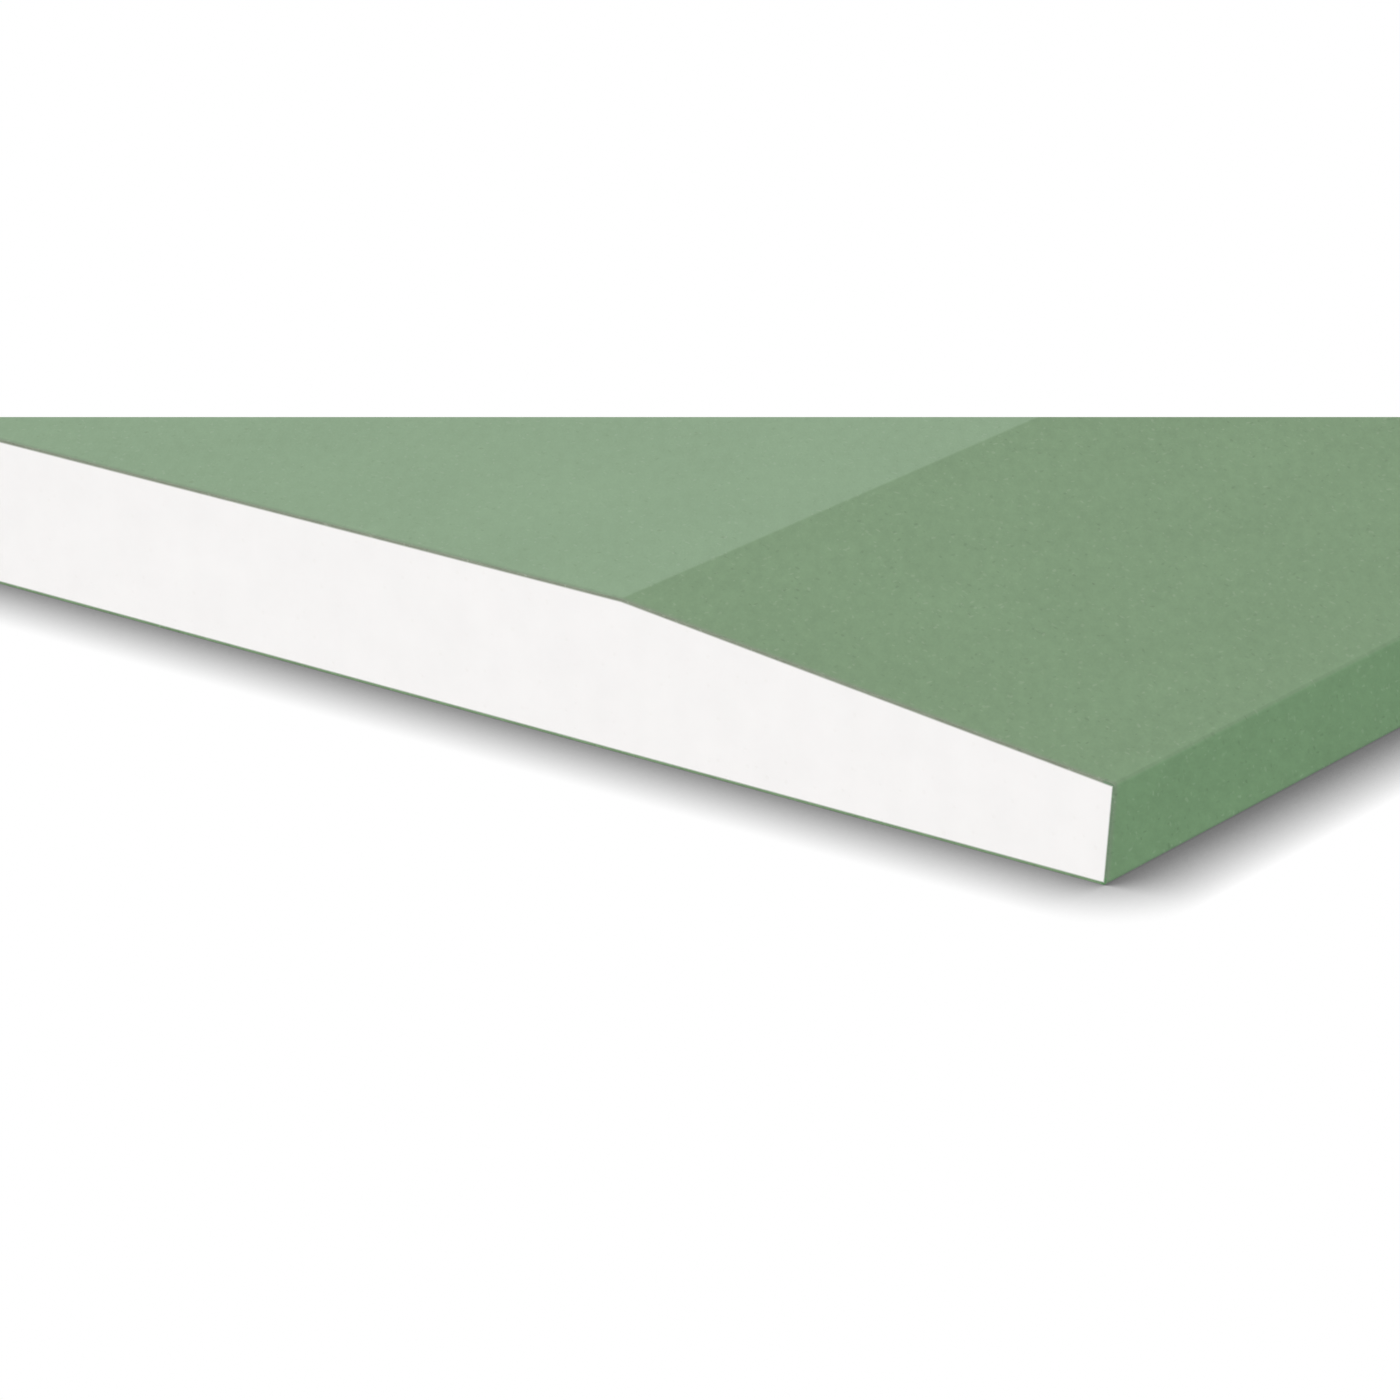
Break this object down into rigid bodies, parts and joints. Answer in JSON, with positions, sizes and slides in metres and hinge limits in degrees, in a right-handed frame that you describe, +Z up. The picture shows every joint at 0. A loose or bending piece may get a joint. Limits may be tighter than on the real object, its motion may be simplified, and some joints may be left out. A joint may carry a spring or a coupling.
{
  "type": "drywall sheet",
  "caption": "Flat gypsum board sheet with a white core between paper linings, green face paper folded round tapered long edges, and square-cut ends; lines walls and ceilings.",
  "frame": {"origin": "middle of the underside, where the sheet lies on the floor", "axes": "+Z up through the sheet from back to face, +Y along its length, +X across its width to the right-hand tapered edge"},
  "size_m": [1.2, 2.4, 0.0125],
  "materials": {
    "gypsum": "matt white gypsum, cut clean",
    "face_paper": "matt light green paper, fine fibre grain",
    "back_paper": "matt grey-green paper, fine fibre grain"
  },
  "bodies": {
    "root": {"gypsum_core": "gypsum", "face_paper": "face_paper", "back_paper": "back_paper"}
  },
  "joints": []
}
